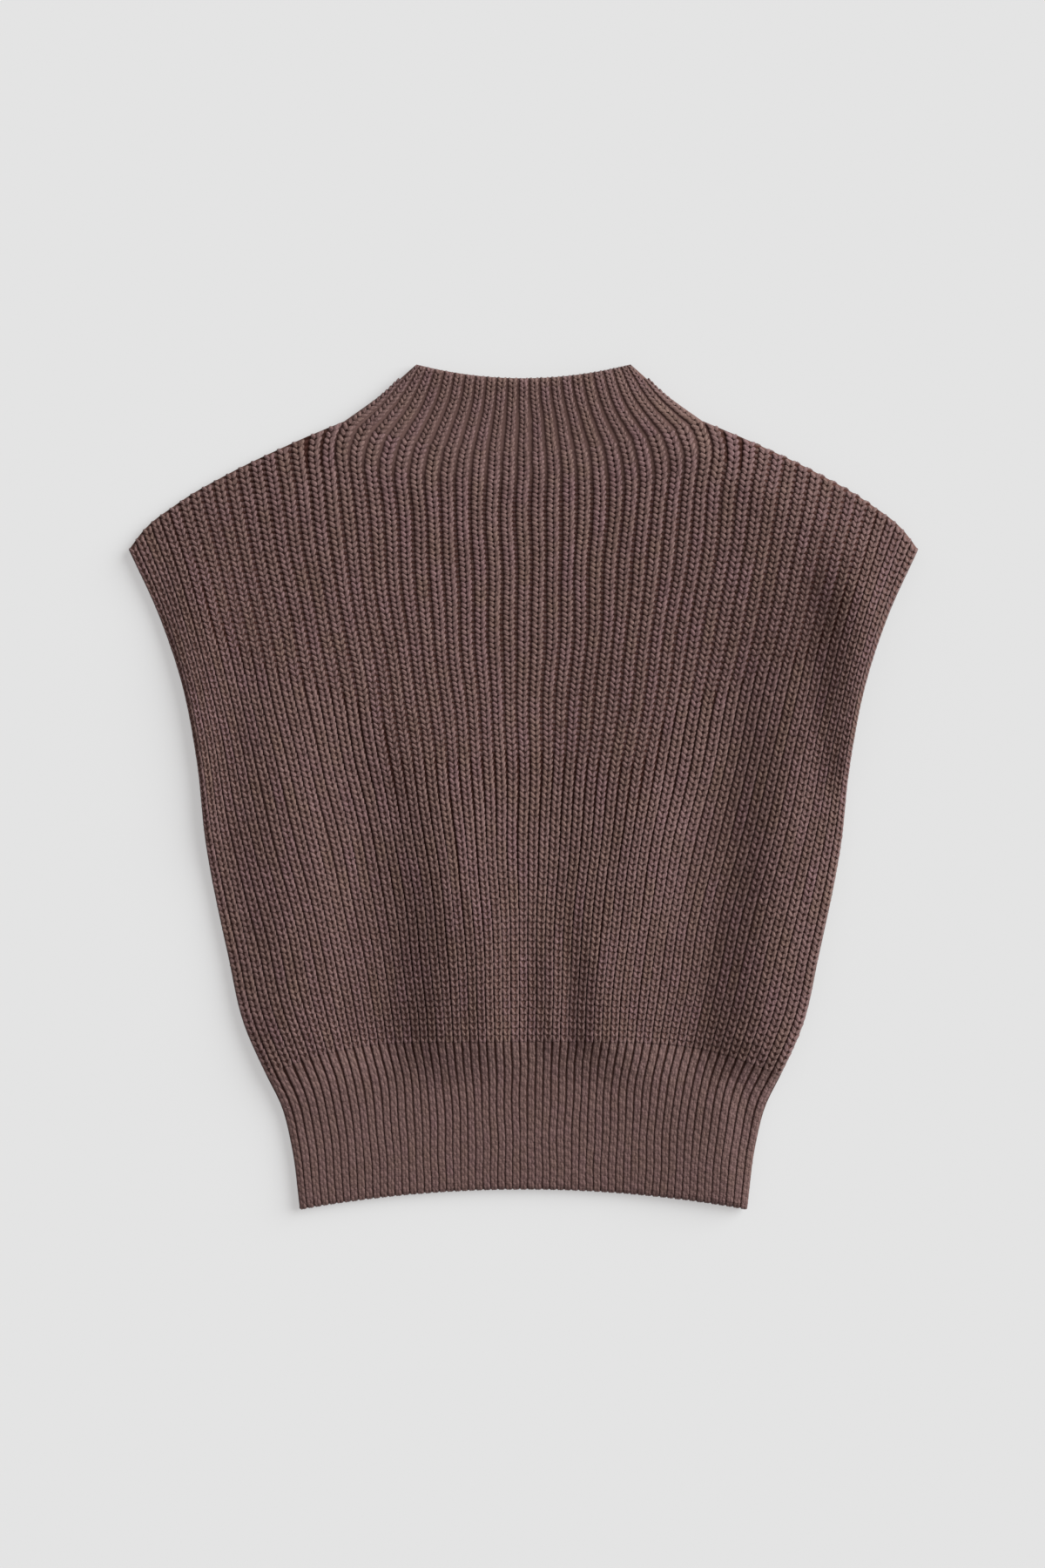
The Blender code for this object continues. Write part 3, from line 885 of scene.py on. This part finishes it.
def stitches(part, layer, look, tone_and_painted_light, shape, material, rng):
    """The V stitches of one piece of cloth, as two meshes, for its left and right half.

    Each leg of a V is a grain that leans out from the middle of the rib as it goes up.  It
    comes out over the stitch below, arches, and goes in under the stitch above.
    """
    rib, row, on_part = stitch_grid(part)
    spread = HEM_EVENNESS if part is HEM else 1.0
    hue = HUE_DRIFT * spread * (uneven(rib.shape, rng, 2.5) + uneven(rib.shape, rng, 1))
    hue = np.clip(0.5 + hue, 0, 1)
    tone = 1.0 + spread * (SLOW_TONE_DRIFT * uneven(rib.shape, rng, 3)
                           + TONE_DRIFT * uneven(rib.shape, rng, 1))
    lean = LEAN_DRIFT * uneven(rib.shape, rng, 1)
    drift = SIDE_DRIFT * uneven(rib.shape, rng, 6)
    fullness = 1.0 + FULLNESS_DRIFT * uneven(rib.shape, rng, 8)
    rib, row, hue, tone, lean, drift, fullness = (
        a[on_part] for a in (rib, row, hue, tone, lean, drift, fullness))
    width, height = pitches(part, rib, row)
    chain = look(rib, row, width) * fullness
    # Each part's tone, with painted shade at the body's crowded sides and above the hem, and
    # painted light right under the hem seam.
    tone = tone * tone_and_painted_light(rib, row)

    t = np.asarray(shape[0])[None, :]
    made = []
    legs = leg_shapes(part, chain, width, height)
    (foot_out, head_out, foot_row, head_row, thickness, bend, foot_rise, head_rise,
     swell) = legs.T
    for hand in (-1, 1):
        stray = rng.normal(0, 1, (4, len(rib)))
        inner = foot_out + lean * hand + END_STRAY * stray[0]
        outer = head_out + END_STRAY * stray[1]
        off = hand * chain[:, None] * mix(inner[:, None], outer[:, None], t ** bend[:, None])
        foot = foot_row + FOOT_STRAY * stray[2]
        head = head_row + HEAD_STRAY * stray[3]
        along = mix(foot[:, None], head[:, None], t)
        radius = thickness * chain * (1 + rng.normal(0, RADIUS_STRAY, len(rib)))
        ride = mix(foot_rise[:, None], head_rise[:, None], t)
        rise = radius[:, None] * (ride + ARCH_RISE[part.name] * np.sin(np.pi * t))
        places = (rib + drift)[:, None] + off / width[:, None], row[:, None] + along
        axis = part.surface(*places, layer, rise)
        made.append((axis, part.outward(*places, layer), radius, swell,
                     tone * (1.0 + spread * rng.normal(0, TONE_STRAY, len(rib))), hue, rib))
    axis, outward, radius, swell, tone, hue, rib = (np.concatenate(parts)
                                                    for parts in zip(*made))
    pieces = []
    for half, chosen in (("left", rib < 0), ("right", rib >= 0)):
        pieces.append(grains(f"{layer}_{part.name}_stitches_{half}", axis[chosen],
                             outward[chosen], radius[chosen], swell[chosen], shape,
                             material, tone[chosen], hue[chosen]))
    return pieces


def ground_bars(part, layer, look, shape, material, rng):
    """Bars of yarn across the grooves between ribs, one to each row, where the groove shows.

    Each is a grain along the row that goes in under the legs on either side, and sags
    between them.
    """
    rib, row, on_part = stitch_grid(part)
    rib = rib + 0.5
    hue = np.clip(0.5 + 0.2 * uneven(rib.shape, rng, 3), 0, 1)
    width, height = pitches(part, rib, row)
    groove = width - look(rib, row, width)
    on_part &= (groove > GROOVE_SHOWN) & (np.abs(rib) < part.limit(row) - 0.7)
    on_part &= (row < BARS_END) | (np.abs(rib) > NECK_RIBS_EACH_SIDE + 2)
    rib, row, hue, width, height, groove = (a[on_part] for a in (rib, row, hue, width, height,
                                                                 groove))
    t = np.asarray(shape[0])[None, :]
    reach = (groove + BAR_TUCK)[:, None] * (t - 0.5)
    places = rib[:, None] + reach / width[:, None], row[:, None] + BAR_ROW + 0 * t
    radius = BAR_RADIUS * height * (1 + rng.normal(0, 0.08, len(rib)))
    rise = BAR_HEIGHT - BAR_SAG * np.sin(np.pi * t) + 0 * radius[:, None]
    axis = part.surface(*places, layer, rise)
    outward = part.outward(*places, layer)
    tone = BAR_SHADED_TONE + rng.normal(0, 0.06, len(rib))
    return grains(f"{layer}_{part.name}_bars", axis, outward, radius, 1 + 0 * radius, shape,
                  material, tone, hue)


def body_chain(rib, row, width):
    """Width of the chain of V stitches on the body.

    It nearly fills the rib, but less where the ribs of the chest are pulled apart, and stops
    growing over the shoulders.
    """
    share = mix(BODY_CHAIN, CHEST_CHAIN, chest_part(rib, row))
    return np.minimum(BODY_CHAIN_WIDEST, share * width)


def neck_chain(rib, row, width):
    """Width of the chain of V stitches on the neck, which is narrower where it runs off."""
    on_slope = 0.0035 + 2 * (neck_limit(row) - np.abs(rib)) * width
    widest = mix(*NECK_CHAIN_WIDEST, ease(row / 7))
    return np.minimum(widest, np.minimum(NECK_CHAIN * width, on_slope))


def hem_chain(rib, row, width):
    """Width of the chain of V stitches on the hem rib, which closes its grooves at the edge.

    Right under the seam each chain is a little narrower still, where a rib of the body runs
    down into it.
    """
    under_seam = ease((row - HEM_ROWS + 7) / 6)
    return (mix(*HEM_CHAIN, ease(row / HEM_ROWS)) - 0.03 * under_seam) * width


def body_shade_tone(rib, row):
    """Painted shade, darker where full rows crowd the sides and where the ribs are drawn in
    above the hem.
    """
    drawn_in = ease((32 - row) / 24) * ease((24 - np.abs(rib)) / 6)
    return (1.0 - 0.07 * crowded_part(rib)) * (1.0 - 0.08 * drawn_in)


def neck_tone(rib, row):
    """A little darker all over."""
    return 0.93 + 0 * rib


def hem_tone_and_seam_light(rib, row):
    """Darker than the body, most at its edge, and lighter right under the seam with painted
    light against the shade of the fold there.
    """
    return mix(0.78, 0.85, ease(row / 26)) + 0.18 * ease((row - HEM_ROWS + 14) / 9)


# The yarn's own colours, and the dark colour that its painted shade runs to.
WOOL_COLOURS = {"mid": "#745A56", "pink": "#765A5A", "olive": "#725951", "painted_shade": "#3C201C"}
WOOL = yarn_material("spun wool", **WOOL_COLOURS, nap_share=0.45, ply_depth=0.38)
HEM_WOOL = yarn_material("spun wool drawn flat in the hem rib", **WOOL_COLOURS,
                         nap_share=0.75, ply_depth=0.12)
# Colours of the ground: painted shade in its holes and narrow grooves, and its bars and loops
# darkened with painted shade.  The dip is a pale colour near the yarn's own.
KNIT_GROUND = ground_material("knit ground", bar="#573A34", painted_shade="#38201A", groove="#38211B",
                              dip="#755B56", loops="#6C504A")
HEM_GROUND = ground_material("ground of the hem rib", bar="#62443E", painted_shade="#40261F",
                             groove="#3F2822", dip="#80645F", loops="#7A605B")

rng = np.random.default_rng(SEED)
pieces = {}
# Each part with its chain's width, its tone with painted shade and light, its materials, and its
# grid's columns and courses.
for part, look, tone_and_painted_light, wool, ground, grid in (
        (BODY, body_chain, body_shade_tone, WOOL, KNIT_GROUND, (61, 52)),
        (NECK, neck_chain, neck_tone, WOOL, KNIT_GROUND, (28, 10)),
        (HEM, hem_chain, hem_tone_and_seam_light, HEM_WOOL, HEM_GROUND, (61, 16))):
    for layer in ("front", "back"):
        sheet = knit_sheet(part, layer, *grid, ground)
        shape = FINE_GRAIN if layer == "front" else COARSE_GRAIN
        yarns = stitches(part, layer, look, tone_and_painted_light, shape, wool, rng)
        if layer == "front" and part is BODY:
            yarns.append(ground_bars(part, layer, look, BAR_GRAIN, wool, rng))
        node = f"{layer}_{part.name}"
        for piece in (sheet, *yarns):
            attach(piece, "root")
            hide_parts(node)
        pieces[node] = (sheet, yarns)

# Each piece's layer and part name, split from its node's name.
for node, (sheet, yarns) in pieces.items():
    layer, part_name = node.split("_", 1)

# ---------------------------------------------------------------------------------------------
# Floor, lights and camera.

floor_mesh = bpy.data.meshes.new("floor")
floor_mesh.from_pydata([(-4, -4, 0), (4, -4, 0), (4, 4, 0), (-4, 4, 0)], [], [(0, 1, 2, 3)])
floor = bpy.data.objects.new("floor", floor_mesh)
bpy.context.scene.collection.objects.link(floor)
# A light table of matt acrylic, lit from below, so that what lies on it casts a faint shadow.
table = bpy.data.materials.new("lit matt acrylic")
table.use_nodes = True
acrylic = table.node_tree.nodes["Principled BSDF"]
acrylic.inputs["Base Color"].default_value = linear("#A2A2A2")
acrylic.inputs["Roughness"].default_value = 0.95
acrylic.inputs["Specular IOR Level"].default_value = 0.0
acrylic.inputs["Emission Color"].default_value = linear("#FFFFFF")
acrylic.inputs["Emission Strength"].default_value = 0.414
floor_mesh.materials.append(table)

# Soft light from all round, a little warm.
world = bpy.data.worlds.new("studio")
world.use_nodes = True
world.node_tree.nodes["Background"].inputs["Color"].default_value = (1.08, 0.985, 0.97, 1.0)
world.node_tree.nodes["Background"].inputs["Strength"].default_value = 0.30
bpy.context.scene.world = world

# The key light comes from the right, and a little from above the neck, in degrees from +x.
KEY_ELEVATION = 30
KEY_FROM = 28
key = bpy.data.lights.new("key", "SUN")
key.energy = 4.40
key.color = (0.965, 1.006, 1.013)
key.angle = np.radians(50)
key_lamp = bpy.data.objects.new("key", key)
key_lamp.rotation_euler = (0.0, np.radians(90 - KEY_ELEVATION), np.radians(KEY_FROM))
bpy.context.scene.collection.objects.link(key_lamp)

# The camera looks straight down from far off.  Its view is 684 mm by 1026 mm on the garment.
VIEW_LENGTH = 1.026
CAMERA_PLACE = (-0.0006, 0.0017, 2.6)
GARMENT_HEIGHT = 0.007
SENSOR = 36.0
camera_data = bpy.data.cameras.new("camera")
camera_data.sensor_width = SENSOR
camera_data.sensor_height = SENSOR
camera_data.sensor_fit = "AUTO"
camera_data.lens = SENSOR * (CAMERA_PLACE[2] - GARMENT_HEIGHT) / VIEW_LENGTH
camera_data.clip_end = 20.0
camera = bpy.data.objects.new("camera", camera_data)
camera.location = CAMERA_PLACE
bpy.context.scene.collection.objects.link(camera)
bpy.context.scene.camera = camera
bpy.context.scene.view_settings.view_transform = "Standard"
